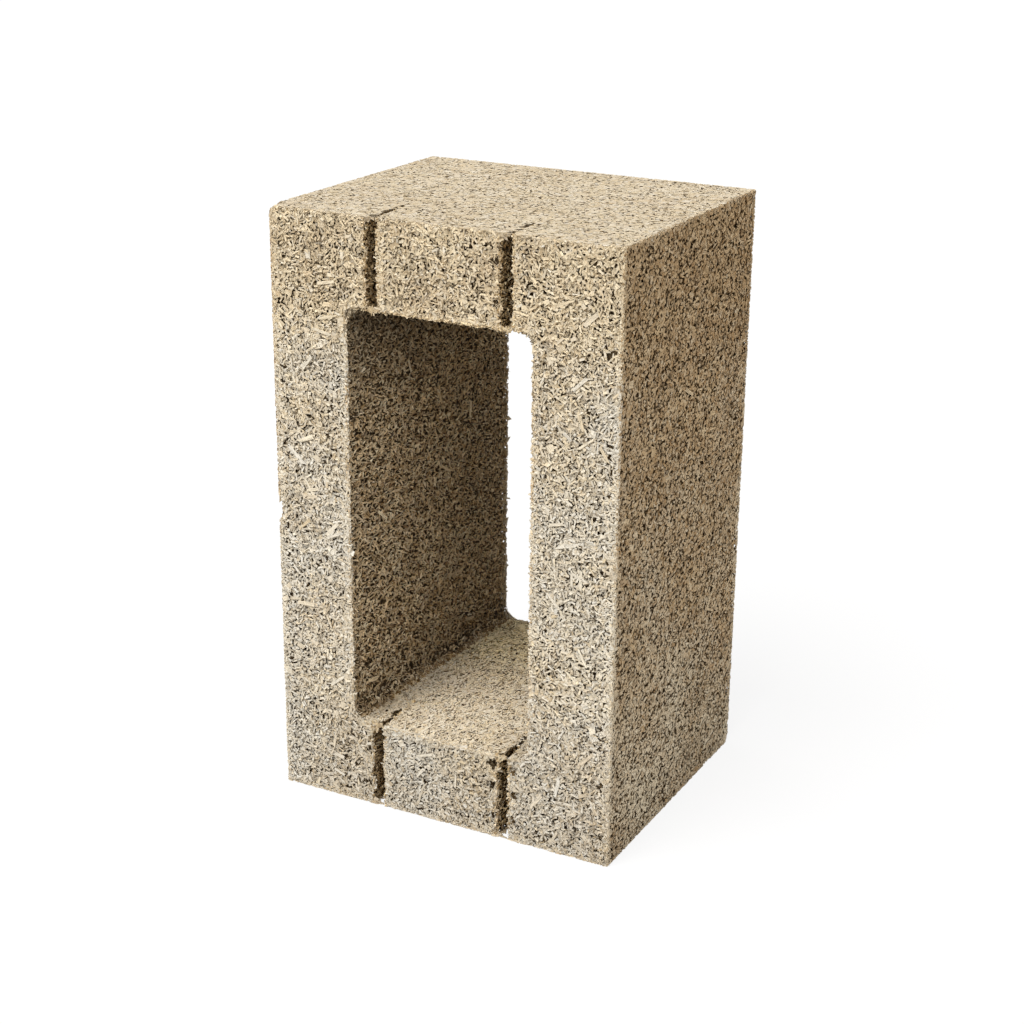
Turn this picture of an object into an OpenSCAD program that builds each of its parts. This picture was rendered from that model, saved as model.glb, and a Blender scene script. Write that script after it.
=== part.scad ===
// Single-core formwork block of chip concrete, standing on one end.
// X runs through the wall, Y up the course and Z along the block, and the core is open at both bed faces.

/* [Block] */
// Thickness of the wall that the block builds
wall_t = 300; // [250:5:400]
// Height of one course, from bed face to bed face
course_h = 250; // [200:5:300]
// Length of the block along the wall
block_len = 492; // [400:2:600]
// Worn chamfer along the outer arrises
arris = 1; // [0.5:0.5:6]

/* [Core] */
// Mean thickness of the two side shells at the wide mouth of the core
shell_t = 70; // [50:1:90]
// Thickness of each end web
web_t = 73; // [50:1:100]
// Draft of the two long core walls, in degrees
core_draft = 2; // [0:0.1:3]
// Radius of the core's corners
core_r = 13; // [6:1:24]
// Distance that the core and its slots sit off the middle, towards the left shell
core_shift = 2; // [0:0.5:6]

/* [Knock-out slots] */
// Distance from a long core wall to the middle of the slot beside it
slot_inset = 22.5; // [14:0.5:36]
// Width of a slot at the bed face
slot_mouth = 11; // [6:0.5:16]
// Width of a slot at its root
slot_root = 3; // [1:0.5:5]
// Depth of a slot below the bed face
slot_depth = 65; // [20:1:120]

/* [Hidden] */
$fn = 96;
chip_concrete = [0.78, 0.71, 0.57];
core_w = wall_t - 2 * shell_t;
core_len = block_len - 2 * web_t;
slot_x = core_w / 2 - slot_inset;
// Widening of half a slot for each unit towards the bed face
slot_taper = (slot_mouth - slot_root) / 2 / slot_depth;
// Every cut runs this far past the face that it opens
overrun = 4;
// Each half of the core reaches this far past its middle, so that the two halves join
half_lap = core_r;

// Rectangle with its corners cut off by the arris chamfer
module chamfered(w, h) {
    x = w / 2;
    y = h / 2;
    polygon([
        [arris - x, -y], [x - arris, -y],
        [x, arris - y], [x, y - arris],
        [x - arris, y], [arris - x, y],
        [-x, y - arris], [-x, arris - y],
    ]);
}

// Full block before it is cored, with all twelve arrises chamfered
module blank() {
    translate([0, 0, block_len / 2])
        intersection() {
            linear_extrude(block_len, center = true)
                chamfered(wall_t, course_h);
            rotate([90, 0, 0])
                linear_extrude(course_h, center = true)
                    chamfered(wall_t, block_len);
            rotate([90, 0, 90])
                linear_extrude(wall_t, center = true)
                    chamfered(course_h, block_len);
        }
}

// Half of the core's section, from its long wall inward, with the two corners of that wall rounded
module half_core_section() {
    half_w = core_w / 2 + half_lap;
    translate([core_r, 0])
        square([half_w - core_r, core_len]);
    translate([0, core_r])
        square([half_w, core_len - 2 * core_r]);
    for (z = [core_r, core_len - core_r])
        translate([core_r, z])
            circle(core_r);
}

// One half of the core, leaning inward from the wide mouth by the draft
module half_core(side) {
    run = course_h + 2 * overrun;
    translate([side * core_w / 2, -course_h / 2, web_t])
        rotate([0, 0, side * core_draft])
            translate([0, run - overrun, 0])
                rotate([90, 0, 0])
                    linear_extrude(run)
                        scale([-side, 1])
                            half_core_section();
}

// Tapered slot through both end webs, beside one long core wall
module knock_out_slot(side) {
    mouth = slot_mouth / 2 + overrun * slot_taper;
    root = slot_root / 2;
    translate([side * slot_x, -course_h / 2, -overrun])
        linear_extrude(block_len + 2 * overrun)
            polygon([[mouth, -overrun], [root, slot_depth], [-root, slot_depth], [-mouth, -overrun]]);
}

module block() {
    color(chip_concrete)
        difference() {
            blank();
            translate([-core_shift, 0, 0])
                for (side = [-1, 1]) {
                    half_core(side);
                    knock_out_slot(side);
                }
        }
}

block();
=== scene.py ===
# Formwork block of chip concrete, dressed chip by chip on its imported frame
import math

import bmesh
import bpy
import numpy as np
from mathutils import Matrix, Vector, noise
from mathutils.bvhtree import BVHTree
from mathutils.kdtree import KDTree


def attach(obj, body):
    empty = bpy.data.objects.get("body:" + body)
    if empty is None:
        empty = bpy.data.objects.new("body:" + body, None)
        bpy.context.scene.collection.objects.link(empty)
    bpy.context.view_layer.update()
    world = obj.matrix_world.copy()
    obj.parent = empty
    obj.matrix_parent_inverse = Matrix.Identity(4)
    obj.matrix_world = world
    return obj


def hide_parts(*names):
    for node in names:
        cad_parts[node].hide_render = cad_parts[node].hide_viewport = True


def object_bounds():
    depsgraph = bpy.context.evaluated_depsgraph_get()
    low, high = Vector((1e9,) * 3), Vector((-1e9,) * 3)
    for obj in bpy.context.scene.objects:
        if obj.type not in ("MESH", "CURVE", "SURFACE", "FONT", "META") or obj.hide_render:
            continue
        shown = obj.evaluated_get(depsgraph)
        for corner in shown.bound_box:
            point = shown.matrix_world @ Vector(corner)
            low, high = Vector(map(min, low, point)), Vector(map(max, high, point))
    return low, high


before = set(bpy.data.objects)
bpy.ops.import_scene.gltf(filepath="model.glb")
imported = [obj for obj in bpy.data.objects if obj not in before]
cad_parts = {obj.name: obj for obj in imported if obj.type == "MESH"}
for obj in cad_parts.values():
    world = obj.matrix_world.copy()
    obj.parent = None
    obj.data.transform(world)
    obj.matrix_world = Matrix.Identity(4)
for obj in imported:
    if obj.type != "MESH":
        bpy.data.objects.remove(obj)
cadLow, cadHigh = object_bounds()
mm = 0.001
low, high = np.array(cadLow), np.array(cadHigh)
blockLen = high[2] - low[2]
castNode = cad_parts["block"]
print("frame loaded, block", [round(v / mm, 1) for v in high - low], "mm")


def addObject(name, data):
    obj = bpy.data.objects.new(name, data)
    bpy.context.scene.collection.objects.link(obj)
    return obj


# Camera and light

camera = {
    "azimuth": 27.75,
    "elevation": 20.18,
    "roll": 0.55,
    "distance": 1.613,
    "target": (-0.0030, 0.0, 0.2288),
    "lens": 68.43,
    "sensor": 36,
    "farthest": 50,
}


def setCamera():
    turn, rise, roll = (math.radians(camera[k]) for k in ("azimuth", "elevation", "roll"))
    back = Vector((math.sin(turn) * math.cos(rise), -math.cos(turn) * math.cos(rise), math.sin(rise)))
    right = Vector((math.cos(turn), math.sin(turn), 0))
    up = back.cross(right)
    across = right * math.cos(roll) + up * math.sin(roll)
    upright = up * math.cos(roll) - right * math.sin(roll)
    data = bpy.data.cameras.new("photoCamera")
    data.sensor_width = camera["sensor"]
    data.lens = camera["lens"]
    data.clip_end = camera["farthest"]
    obj = addObject("photoCamera", data)
    obj.matrix_world = Matrix((across, upright, back)).transposed().to_4x4()
    obj.location = Vector(camera["target"]) + back * camera["distance"]
    bpy.context.scene.camera = obj


studio = {
    "lamps": {
        "keySun": {"from": (-0.17, -0.53, 0.83), "strength": 3.5, "spread": 40, "color": (1, 1, 1)},
        "fillSun": {"from": (0.86, -0.47, 0.20), "strength": 1.22, "spread": 60, "color": (1, 0.95, 0.87)},
        "backSun": {"from": (-0.91, 0.36, 0.22), "strength": 1.3, "spread": 60, "color": (1, 0.98, 0.95)},
        "topSun": {"from": (0.05, 0.10, 1), "strength": 0.6, "spread": 80, "color": (1, 1, 1)},
    },
    "ambient": (0.072, 0.064, 0.054),
    "floorBounce": (0.55, 0.52, 0.48),
    "floorPaper": (0.9, 0.9, 0.9),
    "floorWhite": 0.86,
    "floorSize": 30,
}


def sunLamp(name, lamp):
    data = bpy.data.lights.new(name, "SUN")
    data.energy = lamp["strength"]
    data.angle = math.radians(lamp["spread"])
    data.color = lamp["color"]
    obj = addObject(name, data)
    obj.rotation_euler = Vector(lamp["from"]).to_track_quat("Z", "Y").to_euler()


def blankTree(owner):
    # empty node tree of a finish or a world
    owner.use_nodes = True
    owner.node_tree.nodes.clear()
    return owner.node_tree


def addNode(tree, kind, settings=None, inputs=None):
    node = tree.nodes.new(kind)
    for key, value in (settings or {}).items():
        setattr(node, key, value)
    for key, value in (inputs or {}).items():
        if isinstance(value, bpy.types.NodeSocket):
            tree.links.new(value, node.inputs[key])
        else:
            node.inputs[key].default_value = value
    return node


def mathNode(tree, operation, *values):
    node = addNode(tree, "ShaderNodeMath", {"operation": operation}, dict(enumerate(values)))
    return node.outputs[0]


def seenRay(tree):
    # 1 for what the camera sees straight, in gloss or through glass
    path = addNode(tree, "ShaderNodeLightPath")
    seen = path.outputs["Is Camera Ray"]
    for way in ("Is Glossy Ray", "Is Transmission Ray"):
        seen = mathNode(tree, "MAXIMUM", seen, path.outputs[way])
    return seen


def mixShaders(tree, factor, first, second):
    return addNode(tree, "ShaderNodeMixShader", None, {0: factor, 1: first.outputs[0], 2: second.outputs[0]})


def setWorld():
    world = bpy.data.worlds.new("whiteStudio")
    bpy.context.scene.world = world
    tree = blankTree(world)
    soft = addNode(tree, "ShaderNodeBackground", None, {"Color": (*studio["ambient"], 1)})
    white = addNode(tree, "ShaderNodeBackground", None, {"Color": (1, 1, 1, 1)})
    mix = mixShaders(tree, seenRay(tree), soft, white)
    addNode(tree, "ShaderNodeOutputWorld", None, {"Surface": mix.outputs[0]})


def layFloor():
    half = studio["floorSize"] / 2
    corners = [(-half, -half, 0), (half, -half, 0), (half, half, 0), (-half, half, 0)]
    mesh = bpy.data.meshes.new("paleFloor")
    mesh.from_pydata(corners, [], [(0, 1, 2, 3)])
    obj = addObject("paleFloor", mesh)
    finish = bpy.data.materials.new("paleFloor")
    tree = blankTree(finish)
    bounce = addNode(tree, "ShaderNodeBsdfDiffuse", None, {"Color": (*studio["floorBounce"], 1)})
    paper = addNode(tree, "ShaderNodeBsdfDiffuse", None, {"Color": (*studio["floorPaper"], 1)})
    white = addNode(tree, "ShaderNodeEmission", None, {"Color": (1, 1, 1, 1)})
    shown = mixShaders(tree, studio["floorWhite"], paper, white)
    mix = mixShaders(tree, seenRay(tree), bounce, shown)
    addNode(tree, "ShaderNodeOutputMaterial", None, {"Surface": mix.outputs[0]})
    mesh.materials.append(finish)


setCamera()
for name, lamp in studio["lamps"].items():
    sunLamp(name, lamp)
setWorld()
layFloor()
bpy.context.scene.view_settings.view_transform = "Standard"
print("camera, lamps and floor set")


# The cast shape, as flat triangles and as a tree for nearest points

castMesh = castNode.data
castMesh.calc_loop_triangles()
castPoints = np.array([v.co for v in castMesh.vertices])
castTris = np.array([t.vertices[:] for t in castMesh.loop_triangles])
castNormals = np.array([t.normal for t in castMesh.loop_triangles])
castAreas = np.array([t.area for t in castMesh.loop_triangles])
castMiddles = castPoints[castTris].mean(1)
castTree = BVHTree.FromPolygons([Vector(p) for p in castPoints], castTris.tolist())

arris = 1.0 * mm
arrisFacing = 0.65  # an arris goes with the first side that it faces this much
webFacing = 0.9
facing = 0.7


def outerSide(axis):
    # triangles of the two outer faces square to an axis, with their share of the arrises
    reach = np.minimum(castMiddles[:, axis] - low[axis], high[axis] - castMiddles[:, axis])
    return (reach < arris) & (np.abs(castNormals[:, axis]) > arrisFacing)


bedSide = outerSide(1)
frontSide = bedSide & (castMiddles[:, 1] < 0)
backSide = bedSide & ~frontSide
wallSide = outerSide(0) & ~bedSide
endSide = outerSide(2) & ~bedSide & ~wallSide
webSide = ~(bedSide | wallSide | endSide) & (np.abs(castNormals[:, 2]) > webFacing)

slots = {
    "middles": (-59.5 * mm, 55.5 * mm),
    "mouth": 11 * mm,
    "root": 3 * mm,
    "depth": 65 * mm,
    "web": 73 * mm,
    "coreHalf": 80 * mm,
    "coreLean": 0.035,
}
coreMiddle = sum(slots["middles"]) / 2
coreFloor, coreCeiling = low[2] + slots["web"], high[2] - slots["web"]


def slotHalf(deep):
    return (slots["mouth"] + (slots["root"] - slots["mouth"]) * deep / slots["depth"]) / 2


def inSlot(points, margin):
    # points in the slots or up to a margin beside them
    deep = points[:, 1] - low[1]
    inside = np.zeros(len(points), bool)
    for middle in slots["middles"]:
        inside |= np.abs(points[:, 0] - middle) < slotHalf(deep) + margin
    return inside & (deep < slots["depth"] + margin)


slotSide = ~(bedSide | wallSide | endSide | webSide) & inSlot(castMiddles, 1 * mm)
coreSide = ~(bedSide | wallSide | endSide | webSide | slotSide)

edgeStep = 2 * mm
sharpAngle = math.radians(30)
weld = 0.01 * mm


def weldedCast():
    work = bmesh.new()
    work.from_mesh(castMesh)
    bmesh.ops.remove_doubles(work, verts=work.verts, dist=weld)
    return work


def edgePoints():
    # points along every sharp edge of the cast shape, with the mean normal of its two faces
    work = weldedCast()
    points, outward = [], []
    for edge in work.edges:
        if len(edge.link_faces) == 2 and edge.calc_face_angle() > sharpAngle:
            a, b = (v.co for v in edge.verts)
            parts = max(1, round((b - a).length / edgeStep))
            for i in range(parts):
                points.append(a.lerp(b, (i + 0.5) / parts))
                outward.append((edge.link_faces[0].normal + edge.link_faces[1].normal).normalized())
    work.free()
    return np.array(points), np.array(outward)


def pointTree(points):
    tree = KDTree(len(points))
    for i, point in enumerate(points):
        tree.insert(point, i)
    tree.balance()
    return tree


def farFrom(tree, points):
    return np.array([tree.find(Vector(p))[2] for p in points])


edges, edgeNormals = edgePoints()
edgeTree = pointTree(edges)

# rims that get chips of their own
edgeReach = np.minimum(edges - low, high - edges)
rimReach = 1.1 * mm
inside = 2 * mm
opening = (edgeReach[:, 0] > inside) & (edgeReach[:, 2] > inside)
frontRim = edges[:, 1] - low[1] < rimReach
backRim = high[1] - edges[:, 1] < rimReach
endRim = ~(frontRim | backRim) & (edgeReach[:, 0] < rimReach) & (edgeReach[:, 2] < rimReach)
coreRim = backRim & opening
noRim = np.zeros(len(edges), bool)
mouthTree = pointTree(edges[frontRim & opening])


# Knocks and crumbled edges, as round bites out of the block

wear = {
    "seed": 11,
    # middle and radius of each knock: outer corners and edges, the core's corner, the lips of the slots
    "knocks": [
        ((0.158, 0.133, -0.008), 0.0190),
        ((0.154, 0.077, -0.0215), 0.0250),
        ((-0.157, 0.132, 0.499), 0.0150),
        ((-0.158, -0.133, 0.246), 0.0175),
        ((-0.157, -0.132, 0.298), 0.0125),
        ((-0.1686, -0.125, 0.5191), 0.0380),
        ((0.069, -0.128, 0.4145), 0.0080),
        ((0.0470, -0.1285, 0.064), 0.0085),
        ((0.0475, -0.1285, 0.044), 0.0085),
        ((0.0485, -0.1290, 0.018), 0.0080),
        ((0.0485, -0.1290, 0.470), 0.0080),
        ((0.0480, -0.1290, 0.438), 0.0080),
        ((-0.0670, -0.1290, 0.048), 0.0078),
        ((-0.0668, -0.1290, 0.018), 0.0078),
        ((-0.0668, -0.1290, 0.462), 0.0075),
        ((-0.0670, -0.1290, 0.438), 0.0070),
        ((0.0640, -0.1290, 0.018), 0.0080),
        ((0.0645, -0.1290, 0.040), 0.0085),
        ((0.0640, -0.1290, 0.062), 0.0080),
    ],
    "edge": {"count": 240, "size": (4 * mm, 9 * mm), "depth": (0.4 * mm, 2.4 * mm)},
    "rim": {"count": 230, "size": (2.5 * mm, 6 * mm), "depth": (0.5 * mm, 2.8 * mm), "backShare": 0.25},
    "ceiling": {"count": 75, "size": (6 * mm, 10 * mm), "depth": (1.6 * mm, 4.0 * mm)},
    "lip": {"count": 130, "size": (4 * mm, 7 * mm), "depth": (1.0 * mm, 3.6 * mm), "leftShare": 0.6},
}


def crumbAlong(rng, start, end, outward, crumbs):
    at = start + (end - start) * rng.random()
    radius = rng.uniform(*crumbs["size"])
    least, most = crumbs["depth"]
    bite = least + (most - least) * rng.random() ** 2
    return at + outward / np.linalg.norm(outward) * (radius - bite), radius


def edgeCrumbs(rng, crumbs):
    # along the outer arrises
    for i in range(crumbs["count"]):
        axis = rng.integers(3)
        corner = np.where(rng.random(3) < 0.5, low, high)
        start, end = corner.copy(), corner.copy()
        start[axis], end[axis] = low[axis], high[axis]
        outward = np.sign(corner - (low + high) / 2)
        outward[axis] = 0
        yield crumbAlong(rng, start, end, outward, crumbs)


def openingWay(at):
    # the way from a rim to the slot or core that it borders
    for middle in slots["middles"]:
        if abs(at[0] - middle) < slots["mouth"]:
            return np.array((np.sign(middle - at[0]), 0, 0))
    way = (low + high) / 2 - at
    way[1] = 0
    return way / np.linalg.norm(way)


def rimCrumbs(rng, crumbs):
    # round the core and the slots, most of them on the slotted bed face
    rim = edges[(edgeReach[:, 1] < 0.1 * mm) & (edgeReach[:, 0] > inside)]
    share = np.where(rim[:, 1] < 0, 1, crumbs["backShare"])
    for at in rng.choice(rim, crumbs["count"], p=share / share.sum()):
        outward = openingWay(at) + np.array((0, np.sign(at[1]), 0))
        yield crumbAlong(rng, at, at, outward, crumbs)


def ceilingCrumbs(rng, crumbs):
    # front edge of the core's ceiling
    start = np.array((coreMiddle - slots["coreHalf"], low[1], coreCeiling))
    end = np.array((coreMiddle + slots["coreHalf"], low[1], coreCeiling))
    for i in range(crumbs["count"]):
        yield crumbAlong(rng, start, end, np.array((0, -1, -1)), crumbs)


def lipCrumbs(rng, crumbs):
    # both lips of the slots, more on the left
    for i in range(crumbs["count"]):
        side = rng.choice((-1, 1), p=(crumbs["leftShare"], 1 - crumbs["leftShare"]))
        x = rng.choice(slots["middles"]) + side * slots["mouth"] / 2
        z = rng.choice((low[2], coreCeiling))
        start, end = np.array((x, low[1], z)), np.array((x, low[1], z + slots["web"]))
        yield crumbAlong(rng, start, end, np.array((-side, -1, 0)), crumbs)


def makeBites():
    rng = np.random.default_rng(wear["seed"])
    bites = [(np.array(at), radius) for at, radius in wear["knocks"]]
    bites += edgeCrumbs(rng, wear["edge"])
    bites += rimCrumbs(rng, wear["rim"])
    bites += ceilingCrumbs(rng, wear["ceiling"])
    bites += lipCrumbs(rng, wear["lip"])
    return bites


bites = makeBites()
print(len(bites), "knocks and crumbs")


def bitten(points):
    # push points out of every bite, along its radius
    points = points.copy()
    for at, radius in bites:
        away = points - at
        far = np.linalg.norm(away, axis=1)
        within = far < radius
        points[within] = at + away[within] / far[within, None] * radius
    return points


# Cast body under the chips: sunk copy, even cells, lumps and pores

castBody = {
    "sunk": 2.4 * mm,
    "cell": 5.0 * mm,
    "lump": 0.9 * mm, "lumpSize": 14 * mm, "lumpSwing": 0.5, "lumpSink": 0.3,
    "pore": 1.3 * mm, "poreSize": 4.5 * mm, "poreTop": 0.15,
    "corner": 5.0 * mm, "cornerSize": 9 * mm,
    "footGap": 0.2 * mm,
    # painted shade and light of the gaps between the chips on each side, multiplied into the body's dark
    # grain: darkest on the front and in the core, lighter on the ends
    "shades": {"front": 0.25, "back": 0.9, "end": 1.5, "wall": 0.75, "core": 0.28, "slot": 0.9},
    "wallReach": 10 * mm,
    "slotReach": 4 * mm,
    "grain": ((0.0, (0.14, 0.085, 0.034)), (0.5, (0.27, 0.185, 0.088)), (1.0, (0.42, 0.31, 0.17))),
    "grainScale": 330,
    "gritScale": 420,
    "pits": (0.40, 0.52), "pitRun": (520, 520, 520), "pitShadeColor": (0.055, 0.030, 0.011),
    "bump": 0.9, "bumpHeight": 1.5 * mm, "rough": (0.82, 1.0), "gloss": 0.15,
}


def noiseAt(points, size, shift=(0, 0, 0)):
    return np.array([noise.noise(Vector(p) / size + Vector(shift)) for p in points])


def readVectors(items, key):
    values = np.empty(len(items) * 3, np.float32)
    items.foreach_get(key, values)
    return values.reshape(-1, 3)


def storeOnPoints(mesh, name, kind, key, values):
    layer = mesh.attributes.new(name, kind, "POINT")
    layer.data.foreach_set(key, values.astype(np.float32).ravel())


def sunkCopy(depth):
    # every face of the cast shape moved inward by the same depth
    work = weldedCast()
    moves = []
    for vert in work.verts:
        normals = []
        for face in vert.link_faces:
            if all(face.normal.dot(n) < 0.999 for n in normals):
                normals.append(face.normal.copy())
        push = np.linalg.lstsq(np.array(normals), np.full(len(normals), -depth), rcond=0.05)[0]
        moves.append(Vector(push))
    for vert, push in zip(work.verts, moves):
        vert.co += push
    mesh = bpy.data.meshes.new("sunkCast")
    work.to_mesh(mesh)
    work.free()
    return mesh


def evenCells(mesh):
    start = addObject("sunkCast", mesh)
    cells = start.modifiers.new("cells", "REMESH")
    cells.mode = "VOXEL"
    cells.voxel_size = castBody["cell"]
    grid = bpy.context.evaluated_depsgraph_get()
    result = bpy.data.meshes.new_from_object(start.evaluated_get(grid))
    bpy.data.objects.remove(start)
    result.name = "castBody"
    return result


# painted shade and light of the gaps, side by side
def gapShades(points, normals):
    shades = castBody["shades"]
    outside = np.abs(points[:, 0]) > high[0] - castBody["wallReach"]
    slotWall = inSlot(points, castBody["slotReach"]) & (np.abs(normals[:, 0]) > facing)
    shade = np.where(outside, shades["wall"], shades["core"])
    shade = np.where(np.abs(normals[:, 2]) > facing, shades["end"], shade)
    shade = np.where(slotWall, shades["slot"], shade)
    shade = np.where(normals[:, 1] > facing, shades["back"], shade)
    return np.where(normals[:, 1] < -facing, shades["front"], shade)


def makeBody():
    mesh = evenCells(sunkCopy(castBody["sunk"]))
    points = readVectors(mesh.vertices, "co").astype(float)
    normals = readVectors(mesh.vertices, "normal")
    lumps = noiseAt(points, castBody["lumpSize"]) * castBody["lumpSwing"] - castBody["lumpSink"]
    pores = np.minimum(noiseAt(points, castBody["poreSize"]), castBody["poreTop"])
    points += normals * (castBody["lump"] * lumps + castBody["pore"] * pores)[:, None]
    # fuller corners, because the even cells cut them off
    near = [edgeTree.find(Vector(p)) for p in points]
    full = castBody["corner"] * np.clip(1 - np.array([n[2] for n in near]) / castBody["cornerSize"], 0, 1)
    points = bitten(points + edgeNormals[[n[1] for n in near]] * full[:, None])
    points[:, 2] = np.maximum(points[:, 2], castBody["footGap"])
    mesh.vertices.foreach_set("co", points.astype(np.float32).ravel())
    mesh.shade_smooth()
    mesh.update()
    storeOnPoints(mesh, "gapShade", "FLOAT", "value", gapShades(points, normals))
    print("cast body", len(mesh.polygons), "cells")
    return addObject("castBody", mesh)


# Skin of fines over the slots, where they come out at an end or in the core

skin = {
    "crack": 5.6 * mm, "crackStart": 1.1, "crackTaper": 0.7,
    "wander": 1.5, "wanderSize": 6 * mm,
    "leastGap": 1.4 * mm, "chipReach": 2.2 * mm, "overlap": 1.5 * mm,
    "start": 0.5 * mm,
    "lipPart": 4, "lipRight": 0.6, "lipDeep": (0.2 * mm, 2 * mm),
    # course of each crack and how far it runs, left slot and right slot
    "topCracks": ((248.30, 64 * mm), (161.07, 42 * mm)),
    "floorCracks": ((80.86, 40 * mm), (146.64, 40 * mm)),
}


def crackLine(deep, middle, course, end):
    # where the skin ends, short of the slot's right wall; past the wall where it is closed
    wander = np.array([noise.noise(Vector((d / skin["wanderSize"], course, 0.5))) for d in deep])
    gap = skin["crack"] * np.clip(skin["crackStart"] - skin["crackTaper"] * deep / end, 0, 1)
    gap *= 1 + skin["wander"] * wander
    closed = (gap < skin["leastGap"]) | (deep > end)
    return middle + slotHalf(deep) - np.where(closed, -skin["overlap"], gap + skin["chipReach"])


def skinSpots(rng, level, up, lipDrop, cracks, count):
    # spots over both slots at one level, and down the front of that skin
    spots, normals = [], []
    for (course, end), middle in zip(cracks, slots["middles"]):
        deep = rng.uniform(skin["start"], slots["depth"], count)
        left = middle - slotHalf(deep) - skin["overlap"]
        x = left + np.maximum(crackLine(deep, middle, course, end) - left, 0) * rng.random(count)
        spots.append(np.column_stack((x, low[1] + deep, np.full(count, level))))
        normals.append(np.tile((0, 0, up), (count, 1)))
        lip = count // skin["lipPart"]
        over = rng.uniform(-1, skin["lipRight"], lip)
        drop = lipDrop * (skin["lipRight"] - over) / (1 + skin["lipRight"]) * rng.random(lip)
        deep = rng.uniform(*skin["lipDeep"], lip)
        x = middle + over * slots["mouth"] / 2
        spots.append(np.column_stack((x, low[1] + deep, level - up * drop)))
        normals.append(np.tile((0, -1, 0), (lip, 1)))
    return np.concatenate(spots), np.concatenate(normals)


# Chips pressed into each side

chipForm = {
    "tries": 4, "gridShift": 0.37,
    "lengthPower": 1.4, "widthPower": 1.2,
    "flakeWidth": (1.8, 3.2), "flakeLength": (1.0, 1.4),
    "sliverLength": (1.5, 2.3), "sliverWidth": 0.8,
    "stripLength": (10 * mm, 20 * mm), "stripWidth": (2.0 * mm, 3.6 * mm), "stripClear": 11 * mm,
    "skinLength": 0.6, "skinWidth": 0.75,
    "ends": (-1.0, -0.88, 1.0, 0.85), "endRagged": 0.14,
    "sides": (-0.8, 0.95, 0.75, -1.0), "sideRagged": 0.18,
    "heel": 0.1,
    "clumpSize": 10 * mm, "clumpDepth": (0.2, 2),
    "edgeCalm": 8 * mm, "leastDepth": 0.3, "edgeDepth": (0, 2.6 * mm),
    "boxGap": 0.05 * mm,
    # how much further chips hang out at the mouths of core and slots
    "mouthReach": 3 * mm, "mouthLoose": 4.0,
    "lipReach": 3.5 * mm, "leftLoose": 11, "rightLoose": 6,
}


def between(rng, bounds, count, power=1.0):
    return bounds[0] + (bounds[1] - bounds[0]) * rng.random(count) ** power


def evenSpots(rng, side, count):
    # more spots than needed, by area, thinned to one in each small cube
    chosen = np.flatnonzero(side)
    area = castAreas[chosen]
    many = chipForm["tries"] * count
    tri = rng.choice(chosen, many, p=area / area.sum())
    a, b = np.sqrt(rng.random(many))[:, None], rng.random(many)[:, None]
    corner = castPoints[castTris[tri]]
    spot = (1 - a) * corner[:, 0] + a * (1 - b) * corner[:, 1] + a * b * corner[:, 2]
    cubes = np.floor((spot - low) / np.sqrt(area.sum() / count) + chipForm["gridShift"]).astype(int)
    keep = np.unique(cubes, axis=0, return_index=True)[1]
    return spot[keep], castNormals[tri[keep]]


def chipSpots(rng, chips, side, rim):
    # spots all over a side, then along its rims, then on the skins
    spot, normal = evenSpots(rng, side, chips["count"])
    along = rng.choice(np.flatnonzero(rim), chips["edge"])
    inward = np.zeros((len(along), 3))
    inward[:, 1] = chips["edgeSpread"] * rng.random(len(along))
    spots, normals = [spot, edges[along] - inward], [normal, edgeNormals[along]]
    onRim = slice(len(spot), len(spot) + len(along))
    for level in chips["skinLevels"]:
        more, up = skinSpots(rng, *level, chips["skin"])
        spots.append(more)
        normals.append(up)
    return np.concatenate(spots), np.concatenate(normals), onRim


def chipSizes(rng, chips, reach, onRim):
    count = len(reach)
    onSkin = slice(onRim.stop, count)
    length = between(rng, chips["length"], count, chipForm["lengthPower"])
    width = between(rng, chips["width"], count, chipForm["widthPower"])
    kind = rng.random(count)
    flake = kind < chips["flakes"]
    sliver = kind > 1 - chips["slivers"]
    width[flake] *= between(rng, chipForm["flakeWidth"], flake.sum())
    length[flake] *= between(rng, chipForm["flakeLength"], flake.sum())
    length[sliver] *= between(rng, chipForm["sliverLength"], sliver.sum())
    width[sliver] *= chipForm["sliverWidth"]
    strip = (rng.random(count) < chips["strips"]) & (reach > chipForm["stripClear"])
    length[strip] = between(rng, chipForm["stripLength"], strip.sum())
    width[strip] = between(rng, chipForm["stripWidth"], strip.sum())
    width[onRim] *= chips["edgeWidth"]
    length[onSkin] *= chipForm["skinLength"]
    width[onSkin] *= chipForm["skinWidth"]
    thick = between(rng, chips["thick"], count)
    return length, width, thick, strip


def turned(first, second, angle):
    # two square directions turned in their own plane
    c, s = np.cos(angle)[:, None], np.sin(angle)[:, None]
    return first * c + second * s, second * c - first * s


def chipLay(rng, chips, normal, strip):
    # a turn in the face, then a lift of one end and a roll
    count = len(normal)
    lift, roll = rng.normal(0, math.radians(chips["lift"]), (2, count))
    lift[strip], roll[strip] = 0, 0
    roll *= chips["roll"]
    turn = rng.normal(0, math.radians(chips["comb"]), count)
    pole = np.where(np.abs(normal[:, 1:2]) < facing, (0, 1, 0), (0, 0, 1))
    side = np.cross(normal, pole)
    side /= np.linalg.norm(side, axis=1)[:, None]
    flat, across = turned(np.cross(side, normal), side, turn)
    along, upward = turned(flat, normal, lift)
    across, upward = turned(across, upward, roll)
    return along, across, upward


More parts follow.
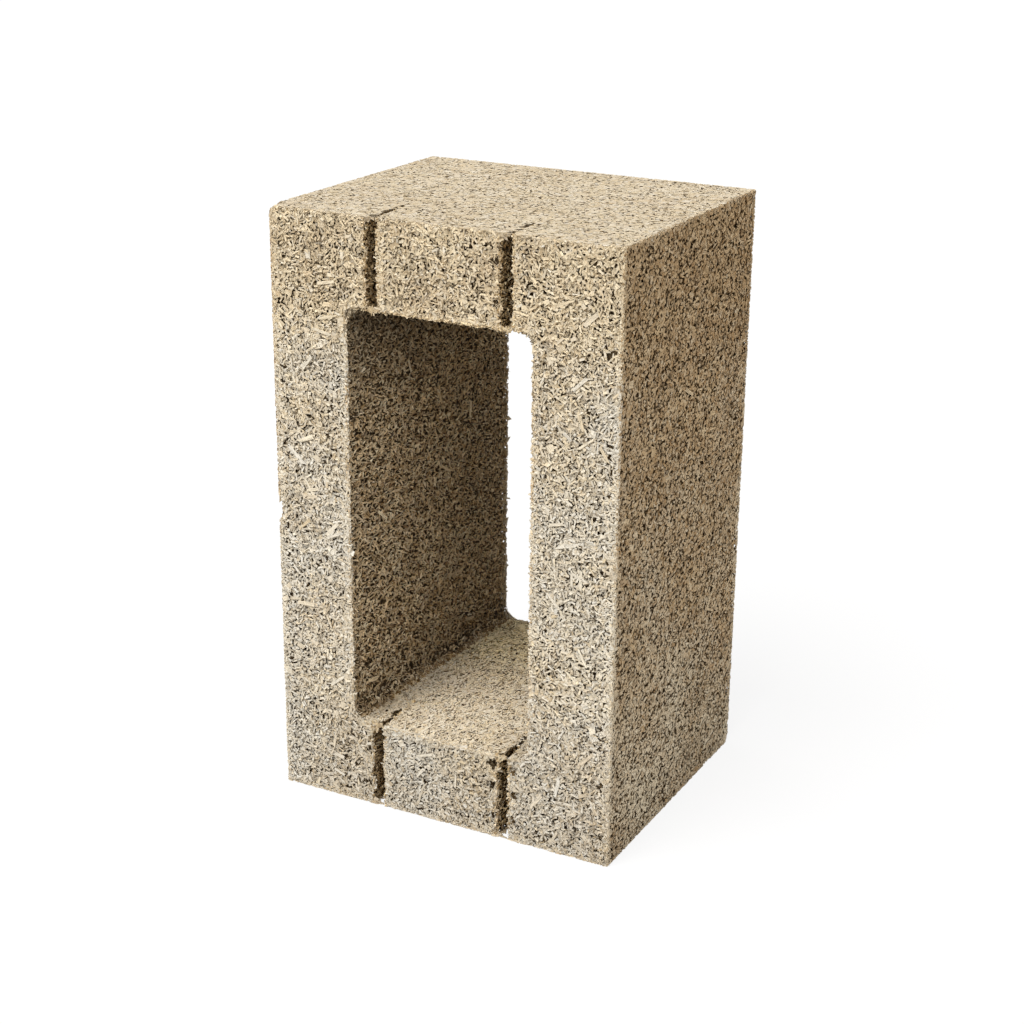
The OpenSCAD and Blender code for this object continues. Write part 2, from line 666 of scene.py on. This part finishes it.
def chipShape(rng, chips, length, width, thick, lay):
    # four ragged corners round the top and one point below, and the run of the grain for its finish
    count = len(length)
    along, across, upward = lay
    ends = np.array(chipForm["ends"]) + rng.normal(0, chipForm["endRagged"], (count, 4))
    sides = np.array(chipForm["sides"]) + rng.normal(0, chipForm["sideRagged"], (count, 4))
    ends, sides = ends * (length / 2)[:, None], sides * (width / 2)[:, None]
    warp = rng.normal(0, chips["warp"], (count, 4))
    top = (along[:, None] * ends[:, :, None] + across[:, None] * sides[:, :, None]
           + upward[:, None] * warp[:, :, None])
    heel = length * rng.normal(0, chipForm["heel"], count)
    point = along * heel[:, None] - upward * thick[:, None]
    grain = np.zeros((count, 5, 3))
    grain[:, :4, 0], grain[:, 4, 0] = ends, heel
    grain[:, :4, 1] = sides
    grain[:, :, 2] = np.arange(count)[:, None]
    return np.concatenate((top, point[:, None]), 1), grain


def chipDepth(rng, chips, spot, reach, strip, onRim):
    # shallower near the edges, deeper in clumps and towards the back of the core
    depth = between(rng, chips["depth"], len(spot), chips["depthPower"])
    depth *= np.clip(reach / chipForm["edgeCalm"], chipForm["leastDepth"], 1)
    clump = chips["clump"] * noiseAt(spot, chipForm["clumpSize"])
    depth *= np.clip(1 + clump, *chipForm["clumpDepth"]) * (1 + chips["backDepth"] * backward(spot))
    depth[strip] = 0
    depth[onRim] = between(rng, chipForm["edgeDepth"], onRim.stop - onRim.start)
    return depth


def looseEnds(spot):
    # how much further chips hang out, most at the left lips of the slots
    deep = spot[:, 1] - low[1]
    atMouth = farFrom(mouthTree, spot) < chipForm["mouthReach"]
    loose = np.where(atMouth, chipForm["mouthLoose"], 1.0)
    for middle in slots["middles"]:
        for side, more in ((-1, chipForm["leftLoose"]), (1, chipForm["rightLoose"])):
            fromLip = np.hypot(spot[:, 0] - middle - side * slots["mouth"] / 2, deep)
            loose[fromLip < chipForm["lipReach"]] = more
    return loose


def heldIn(points, allowed):
    # corners that hang out past the cast surface go back to it
    for i, point in enumerate(points):
        near, normal = castTree.find_nearest(Vector(point))[:2]
        out = (Vector(point) - near).dot(normal)
        if out > allowed[i]:
            points[i] = near + normal * allowed[i]
    return points


def joinChips(name, points):
    # closed five-point chips in one mesh: a four-cornered top and four flanks down to the point
    count = len(points)
    rim = np.arange(4)
    flanks = np.column_stack((rim, np.roll(rim, -1), np.full(4, 4)))
    pattern = np.concatenate((rim[::-1], flanks.ravel()))
    sizes = np.array((4, 3, 3, 3, 3))
    mesh = bpy.data.meshes.new(name)
    mesh.vertices.add(count * 5)
    mesh.vertices.foreach_set("co", points.astype(np.float32).ravel())
    corners = (np.arange(count)[:, None] * 5 + pattern).ravel()
    starts = np.concatenate(((0,), np.cumsum(np.tile(sizes, count))[:-1]))
    mesh.loops.add(len(corners))
    mesh.loops.foreach_set("vertex_index", corners.astype(np.int32))
    mesh.polygons.add(len(starts))
    mesh.polygons.foreach_set("loop_start", starts.astype(np.int32))
    mesh.update(calc_edges=True)
    mesh.shade_flat()
    layChips(mesh, count)
    return addObject(name, mesh)


def layChips(mesh, count):
    # one square of the baked map for each chip, with its top in the middle and its flanks folded out
    row = math.ceil(math.sqrt(count))
    top, tip = 0.36, 0.48
    rim = np.array(((-top, -top), (-top, top), (top, top), (top, -top)))
    fold = np.array(((-tip, 0), (0, tip), (tip, 0), (0, -tip)))
    flanks = np.stack((rim, np.roll(rim, -1, axis=0), fold), axis=1).reshape(-1, 2)
    square = np.concatenate((rim[::-1], flanks)) + 0.5
    number = np.arange(count)
    place = np.column_stack((number % row, number // row))
    spread = (place[:, None] + square[None]) / row
    mesh.uv_layers.new(name="OFBake").data.foreach_set("uv", spread.astype(np.float32).ravel())


def pressChips(name, chips, side, rim):
    rng = np.random.default_rng(chips["seed"])
    spot, normal, onRim = chipSpots(rng, chips, side, rim)
    reach = farFrom(edgeTree, spot)
    length, width, thick, strip = chipSizes(rng, chips, reach, onRim)
    lay = chipLay(rng, chips, normal, strip)
    shape, grain = chipShape(rng, chips, length, width, thick, lay)
    rise = np.einsum("nkc,nc->nk", shape, normal).max(1)
    depth = chipDepth(rng, chips, spot, reach, strip, onRim)
    spot = bitten(spot - normal * (depth + rise)[:, None])
    points = spot[:, None] + shape
    # the skins bridge the slots, so only the others are held to the cast surface
    held = onRim.stop
    allowed = chips["overhang"] * rng.exponential(1, held) * looseEnds(spot[:held])
    points[:held] = heldIn(points[:held].reshape(-1, 3), np.repeat(allowed, 5)).reshape(-1, 5, 3)
    obj = joinChips(name, np.clip(points, low + chipForm["boxGap"], high - chipForm["boxGap"]))
    tints = chipTints(rng, chips, spot, normal, depth, strip)
    storeOnPoints(obj.data, "chipTint", "FLOAT_COLOR", "color", np.repeat(tints, 5, axis=0))
    storeOnPoints(obj.data, "chipGrain", "FLOAT_VECTOR", "vector", grain)
    print(name, len(spot), "chips,", len(spot) * 6, "triangles")
    return obj


# Tone, lime, stain and painted shade of each chip

weather = {
    "deepShadeTone": 0.12, "stripTone": 0.15, "footShadeTone": 0.3, "footHeight": 150 * mm,
    "backStart": 15 * mm, "backReach": 90 * mm, "backShade": 0.15,
    "ceilingReach": 90 * mm, "floorReach": 60 * mm, "floorShare": 0.4,
    "wallReach": 34 * mm, "wallScatter": (0.2, 1.8),
    "inwardStart": 2 * mm, "inwardReach": 10 * mm, "inwardScatter": (0.1, 1.5),
    "darkest": 0.2,
    "limeTop": 0.87, "limeWander": 0.05, "limeScatter": 0.2, "limeLeast": 0.8, "limeSwing": 0.6,
    "driftSize": 60 * mm, "driftShift": (7, 3, 1),
    "rimWidth": 11 * mm, "rimTop": 0.55, "rimFade": 0.1,
}


def backward(spot):
    # 0 over the front half of the core, 1 near its back
    return np.clip((spot[:, 1] + weather["backStart"]) / weather["backReach"], 0, 1)


def nearWeb(spot):
    # 1 at the ceiling of the core, less at its floor, 0 away from both
    under = np.clip(1 - (coreCeiling - spot[:, 2]) / weather["ceilingReach"], 0, 1)
    over = np.clip(1 - (spot[:, 2] - coreFloor) / weather["floorReach"], 0, 1)
    return np.maximum(under, weather["floorShare"] * over)


def nearWall(spot):
    # 1 at the long walls of the core, 0 away from them
    half = slots["coreHalf"] - slots["coreLean"] * (spot[:, 1] - low[1])
    return np.clip(1 - (half - np.abs(spot[:, 0] - coreMiddle)) / weather["wallReach"], 0, 1)


def limeAt(spot, normal, chips):
    # lime bloom: little on the upper part, more lower down, in drifting patches, and paler on chips that face
    # up
    height = (spot[:, 2] - low[2]) / blockLen
    drift = noiseAt(spot, weather["driftSize"], weather["driftShift"])
    fade = np.clip((weather["limeTop"] - height + weather["limeWander"] * drift) / chips["limeFall"], 0, 1)
    least, most = chips["lime"]
    bloom = least + (most - least) * fade * (weather["limeLeast"] + weather["limeSwing"] * drift)
    arrisReach = np.minimum(spot[:, 1] - low[1], high[1] - spot[:, 1])
    rim = np.clip(1 - arrisReach / weather["rimWidth"], 0, 1)
    rim *= np.clip((weather["rimTop"] - height) / weather["rimFade"], 0, 1)
    upwardPale = chips["upwardPale"] * np.clip(normal[:, 2], 0, 1)
    return (bloom + upwardPale) * (1 - chips["bareBack"] * backward(spot)) + chips["rimLime"] * rim


def chipTints(rng, chips, spot, normal, depth, strip):
    count = len(spot)
    patch = noiseAt(spot, chips["patchSize"])
    foot = np.clip(1 - (spot[:, 2] - low[2]) / weather["footHeight"], 0, 1)
    tone = 0.5 + chips["toneSpread"] * rng.normal(0, 1, count) + chips["patch"] * patch
    # painted shade: chips sunk deeper get a darker tone, as if shaded by the chips over them
    tone -= weather["deepShadeTone"] * depth / mm
    tone[strip] += weather["stripTone"]
    # painted shade: a darker tone towards the floor, where less light falls
    tone += chips["backTone"] * backward(spot) - weather["footShadeTone"] * foot
    lime = limeAt(spot, normal, chips) + weather["limeScatter"] * rng.normal(0, 1, count)
    stain = chips["stained"] * rng.random(count) ** 3 + chips["patch"] * np.maximum(-patch, 0)
    # painted shade: darker the further in from the front face
    inward = np.clip((spot[:, 1] - low[1] - weather["inwardStart"]) / weather["inwardReach"], 0, 1)
    paintedShade = 1 - chips["inwardShade"] * inward * rng.uniform(*weather["inwardScatter"], count)
    # painted shade: darker again towards the floor
    paintedShade *= 1 - chips["footShade"] * foot
    # painted shade: darker near the core's ceiling and floor and towards its back
    paintedShade *= 1 - chips["cornerShade"] * np.maximum(nearWeb(spot), weather["backShade"] * backward(spot))
    # painted shade: chips sunk deeper are darkened further, down to the darkest level
    paintedShade *= np.clip(1 - chips["deepShade"] * depth / mm, weather["darkest"], 1)
    # painted shade: the core floor darker beside its long walls, varied chip by chip
    paintedShade *= 1 - chips["wallShade"] * nearWall(spot) * rng.uniform(*weather["wallScatter"], count)
    # the fourth channel carries the painted shade of each chip
    return np.column_stack((*np.clip((tone, lime, stain), 0, 1), paintedShade))


# Finishes

def mixColor(tree, factor, first, second, blend="MIX"):
    node = addNode(tree, "ShaderNodeMix", {"data_type": "RGBA", "blend_type": blend})
    for key, value in ((0, factor), (6, first), (7, second)):
        if isinstance(value, bpy.types.NodeSocket):
            tree.links.new(value, node.inputs[key])
        else:
            node.inputs[key].default_value = value if key == 0 else (*value, 1)
    return node.outputs[2]


def ramp(tree, factor, stops):
    node = addNode(tree, "ShaderNodeValToRGB", None, {"Fac": factor})
    marks = node.color_ramp.elements
    while len(marks) < len(stops):
        marks.new(0.5)
    for mark, (place, color) in zip(marks, stops):
        mark.position = place
        mark.color = (*color, 1) if isinstance(color, tuple) else (color, color, color, 1)
    return node.outputs["Color"]


def grainNoise(tree, vector, scale, detail):
    node = addNode(tree, "ShaderNodeTexNoise", None, {"Vector": vector, "Scale": scale, "Detail": detail})
    return node.outputs["Fac"]


def stretched(tree, vector, by):
    node = addNode(tree, "ShaderNodeVectorMath", {"operation": "MULTIPLY"}, {0: vector, 1: by})
    return node.outputs[0]


hollows = {"looseScale": 95, "looseShare": 0.35}


def pits(tree, place, run, look):
    # small hollows in loose clusters, which the finishes paint dark as painted shade
    fine = grainNoise(tree, stretched(tree, run, look["pitRun"]), 1, 2)
    loose = grainNoise(tree, place, hollows["looseScale"], 1)
    both = mathNode(tree, "MULTIPLY_ADD", loose, hollows["looseShare"], fine)
    deep, clear = (edge + hollows["looseShare"] / 2 for edge in look["pits"])
    hollow = addNode(tree, "ShaderNodeMapRange", {"interpolation_type": "SMOOTHSTEP"},
                     {"Value": both, "From Min": deep, "From Max": clear, "To Min": 1.0, "To Max": 0.0})
    return hollow.outputs[0]


def roughShader(tree, color, height, grit, look):
    bump = addNode(tree, "ShaderNodeBump", None,
                   {"Strength": look["bump"], "Distance": look["bumpHeight"], "Height": height})
    smooth, rough = look["rough"]
    grain = addNode(tree, "ShaderNodeMapRange", None, {"Value": grit, "To Min": smooth, "To Max": rough})
    shader = addNode(tree, "ShaderNodeBsdfPrincipled", None,
                     {"Base Color": color, "Roughness": grain.outputs[0], "Normal": bump.outputs[0],
                      "Specular IOR Level": look["gloss"]})
    addNode(tree, "ShaderNodeOutputMaterial", None, {"Surface": shader.outputs[0]})


def chipFinish(name, look):
    finish = bpy.data.materials.new(name)
    tree = blankTree(finish)
    place = addNode(tree, "ShaderNodeTexCoord").outputs["Object"]
    tint = addNode(tree, "ShaderNodeAttribute", {"attribute_name": "chipTint"})
    parts = addNode(tree, "ShaderNodeSeparateColor", None, {"Color": tint.outputs["Color"]})
    tone, lime, stain = parts.outputs[0], parts.outputs[1], parts.outputs[2]
    wood = ramp(tree, tone, look["wood"])
    wood = mixColor(tree, stain, wood, look["stain"])
    color = mixColor(tree, lime, wood, look["limeColor"])

    # fibres along each chip, grit all over, hollows between
    run = addNode(tree, "ShaderNodeAttribute", {"attribute_name": "chipGrain"}).outputs["Vector"]
    fibre = grainNoise(tree, stretched(tree, run, look["fibreRun"]), 1, 2)
    grit = grainNoise(tree, place, look["gritScale"], 3)
    hollow = pits(tree, place, run, look)
    streak = ramp(tree, fibre, ((0.32, look["fibre"]), (0.52, 1.0), (0.70, 1.06)))
    speck = ramp(tree, grit, ((0.30, 0.86), (0.50, 1.0), (0.72, 1.05)))
    # the tint's alpha is the painted shade of each chip
    for shade in (streak, speck, tint.outputs["Alpha"]):
        color = mixColor(tree, 1.0, color, shade, "MULTIPLY")
    # painted shade in the hollows of the chips
    color = mixColor(tree, hollow, color, look["pitShadeColor"])
    relief = mathNode(tree, "ADD", grit, fibre)
    relief = mathNode(tree, "ADD", relief, mathNode(tree, "MULTIPLY", hollow, look["hollowHeight"]))
    roughShader(tree, color, relief, grit, look)
    return finish


def bodyFinish(name, look):
    finish = bpy.data.materials.new(name)
    tree = blankTree(finish)
    place = addNode(tree, "ShaderNodeTexCoord").outputs["Object"]
    cells = addNode(tree, "ShaderNodeTexVoronoi", None,
                    {"Vector": place, "Scale": look["grainScale"], "Randomness": 1})
    cell = addNode(tree, "ShaderNodeSeparateColor", None, {"Color": cells.outputs["Color"]})
    grit = grainNoise(tree, place, look["gritScale"], 4)
    color = ramp(tree, cell.outputs[0], look["grain"])
    # painted shade in the pores of the body
    color = mixColor(tree, pits(tree, place, place, look), color, look["pitShadeColor"])
    # painted shade and light of the gaps between the chips
    gaps = addNode(tree, "ShaderNodeAttribute", {"attribute_name": "gapShade"})
    color = mixColor(tree, 1.0, color, gaps.outputs["Fac"], "MULTIPLY")
    relief = mathNode(tree, "SUBTRACT", grit, cells.outputs["Distance"])
    roughShader(tree, color, relief, grit, look)
    return finish


def joinBlock(obj, finish):
    obj.data.materials.append(finish)
    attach(obj, "root")


# The block itself: the body, then the chips of each side

# what all chips share unless their own list says otherwise
plainChips = {
    "edge": 0, "edgeSpread": 0, "edgeWidth": 1, "skin": 0, "skinLevels": (),
    "inwardShade": 0, "footShade": 0, "cornerShade": 0, "deepShade": 0, "wallShade": 0,
    "backTone": 0, "backDepth": 0, "bareBack": 0, "upwardPale": 0, "rimLime": 0,
    "fibreRun": (180, 1300, 0.731), "pitRun": (330, 620, 3.17), "gritScale": 900, "hollowHeight": -2.0,
    "bump": 0.6, "bumpHeight": 0.35 * mm, "rough": (0.78, 0.98), "gloss": 0.2,
}
frontChips = {
    **plainChips, "seed": 21, "count": 30500, "comb": 180, "edge": 1600,
    "length": (2.2 * mm, 6.4 * mm), "width": (1.0 * mm, 2.2 * mm), "thick": (1.6 * mm, 2.6 * mm),
    "flakes": 0.05, "slivers": 0.05, "strips": 0.003, "warp": 0.18 * mm,
    "lift": 9, "roll": 1.6, "depth": (0.0, 2.5 * mm), "depthPower": 1.2, "overhang": 0.25 * mm,
    "clump": 0.6, "patchSize": 35 * mm, "patch": 0.2, "toneSpread": 0.12, "stained": 0.6,
    "footShade": 0.10, "deepShade": 0.16,
    "lime": (0.05, 0.68), "limeFall": 0.16,
    "wood": ((0.0, (0.55, 0.435, 0.275)), (0.45, (0.84, 0.71, 0.495)), (1.0, (0.91, 0.82, 0.62))),
    "stain": (0.60, 0.46, 0.29), "limeColor": (0.795, 0.76, 0.675),
    "pits": (0.27, 0.37), "pitShadeColor": (0.11, 0.075, 0.038), "fibre": 0.72,
}
backChips = {
    **frontChips, "seed": 27, "count": 15000, "edge": 1400,
    "length": (2.6 * mm, 7.0 * mm), "width": (1.3 * mm, 2.6 * mm),
    "depth": (0.0, 1.8 * mm), "depthPower": 1.4,
}
wallChips = {
    **plainChips, "seed": 22, "count": 31500, "comb": 40,
    "length": (2.6 * mm, 6.6 * mm), "width": (1.5 * mm, 3.1 * mm), "thick": (1.4 * mm, 2.4 * mm),
    "flakes": 0.06, "slivers": 0.04, "strips": 0.002, "warp": 0.15 * mm,
    "lift": 3.5, "roll": 1.5, "depth": (0.0, 1.8 * mm), "depthPower": 2.4, "overhang": 0.25 * mm,
    "clump": 1.2, "patchSize": 40 * mm, "patch": 0.2, "toneSpread": 0.15, "stained": 1.0,
    "lime": (0.0, 0.85), "limeFall": 0.85, "rimLime": 0.5,
    "wood": ((0.0, (0.33, 0.225, 0.12)), (0.45, (0.58, 0.43, 0.255)), (1.0, (0.74, 0.59, 0.38))),
    "stain": (0.43, 0.28, 0.14), "limeColor": (0.82, 0.735, 0.575),
    "pits": (0.34, 0.42), "pitShadeColor": (0.085, 0.048, 0.018), "fibre": 0.70,
}
endChips = {
    **plainChips, "seed": 23, "count": 19500, "comb": 80, "edge": 500, "skin": 190,
    # height and way up of each skin, drop of its front lip, and its cracks
    "skinLevels": ((high[2], 1, 6 * mm, skin["topCracks"]), (low[2], -1, 5 * mm, skin["floorCracks"])),
    "length": (2.8 * mm, 6.4 * mm), "width": (1.6 * mm, 3.4 * mm), "thick": (1.4 * mm, 2.4 * mm),
    "flakes": 0.12, "slivers": 0.04, "strips": 0.002, "warp": 0.04 * mm,
    "lift": 0.8, "roll": 1.4, "depth": (0.0, 0.28 * mm), "depthPower": 2.6, "overhang": 0.25 * mm,
    "clump": 1.0, "patchSize": 40 * mm, "patch": 0.12, "toneSpread": 0.055, "stained": 0.4,
    "lime": (0.10, 0.35), "limeFall": 0.10, "upwardPale": 0.1,
    "wood": ((0.0, (0.42, 0.327, 0.202)), (0.45, (0.566, 0.467, 0.314)), (1.0, (0.665, 0.57, 0.405))),
    "stain": (0.53, 0.39, 0.245), "limeColor": (0.69, 0.645, 0.56),
    "pits": (0.27, 0.36), "pitShadeColor": (0.13, 0.088, 0.044), "fibre": 0.88,
}
webChips = {
    **plainChips, "seed": 25, "count": 14600, "comb": 38, "skin": 190,
    "skinLevels": (
        (coreFloor, 1, 8 * mm, skin["floorCracks"]),
        (coreCeiling, -1, 1.5 * mm, skin["topCracks"])),
    "length": (3.0 * mm, 8.0 * mm), "width": (1.1 * mm, 2.6 * mm), "thick": (1.4 * mm, 2.4 * mm),
    "flakes": 0.05, "slivers": 0.10, "strips": 0.002, "warp": 0.12 * mm,
    "lift": 4, "roll": 1.4, "depth": (0.0, 0.9 * mm), "depthPower": 2.0, "overhang": 0.3 * mm,
    "clump": 1.0, "patchSize": 40 * mm, "patch": 0.15, "toneSpread": 0.13, "stained": 0.7,
    "wallShade": 0.28, "backTone": 0.85, "backDepth": 2.2, "bareBack": 1,
    "lime": (0.0, 0.18), "limeFall": 0.10, "upwardPale": 0.35,
    "wood": ((0.0, (0.46, 0.335, 0.19)), (0.45, (0.80, 0.65, 0.42)), (1.0, (1.0, 0.85, 0.53))),
    "stain": (0.51, 0.38, 0.22), "limeColor": (0.79, 0.72, 0.59),
    "pits": (0.33, 0.41), "pitShadeColor": (0.08, 0.050, 0.024), "fibre": 0.75,
}
coreChips = {
    **plainChips, "seed": 24, "count": 30500, "comb": 45, "edge": 900, "edgeSpread": 6 * mm, "edgeWidth": 2.2,
    "length": (2.4 * mm, 6.2 * mm), "width": (0.7 * mm, 1.4 * mm), "thick": (1.4 * mm, 2.4 * mm),
    "flakes": 0.03, "slivers": 0.10, "strips": 0.001, "warp": 0.2 * mm,
    "lift": 12, "roll": 1.6, "depth": (0.0, 2.0 * mm), "depthPower": 1.2, "overhang": 0.3 * mm,
    "clump": 0.8, "patchSize": 40 * mm, "patch": 0.2, "toneSpread": 0.36, "stained": 1.0,
    "cornerShade": 0.68,
    "lime": (0.0, 0.12), "limeFall": 0.10, "rimLime": 0.3,
    "wood": ((0.0, (0.34, 0.225, 0.115)), (0.40, (0.94, 0.735, 0.465)), (1.0, (0.99, 0.875, 0.65))),
    "stain": (0.56, 0.40, 0.22), "limeColor": (0.84, 0.76, 0.62),
    "pits": (0.28, 0.40), "pitShadeColor": (0.035, 0.020, 0.008), "fibre": 0.55,
}
# a darker copy of the core chips: painted shade inside the slots
slotChips = {
    **coreChips, "seed": 26, "count": 6000, "edge": 0,
    "depth": (-2.8 * mm, 1.2 * mm), "depthPower": 1.0, "overhang": 3.5 * mm,
    "cornerShade": 0, "lime": (0.0, 0.0), "stain": (0.46, 0.32, 0.16),
    "wood": ((0.0, (0.36, 0.24, 0.11)), (0.4, (0.66, 0.50, 0.28)), (1.0, (0.82, 0.67, 0.42))),
    "pits": (0.26, 0.36), "pitShadeColor": (0.07, 0.040, 0.015),
}

body = makeBody()
joinBlock(body, bodyFinish("boundChips", castBody))
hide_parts("block")
for name, chips, side, rim in (
        ("frontChips", frontChips, frontSide, frontRim),
        ("backChips", backChips, backSide, backRim),
        ("wallChips", wallChips, wallSide, noRim),
        ("endChips", endChips, endSide, endRim),
        ("webChips", webChips, webSide, noRim),
        ("coreChips", coreChips, coreSide, coreRim),
        ("slotChips", slotChips, slotSide, noRim)):
    joinBlock(pressChips(name, chips, side, rim), chipFinish(name, chips))
print("chips pressed in and finished")
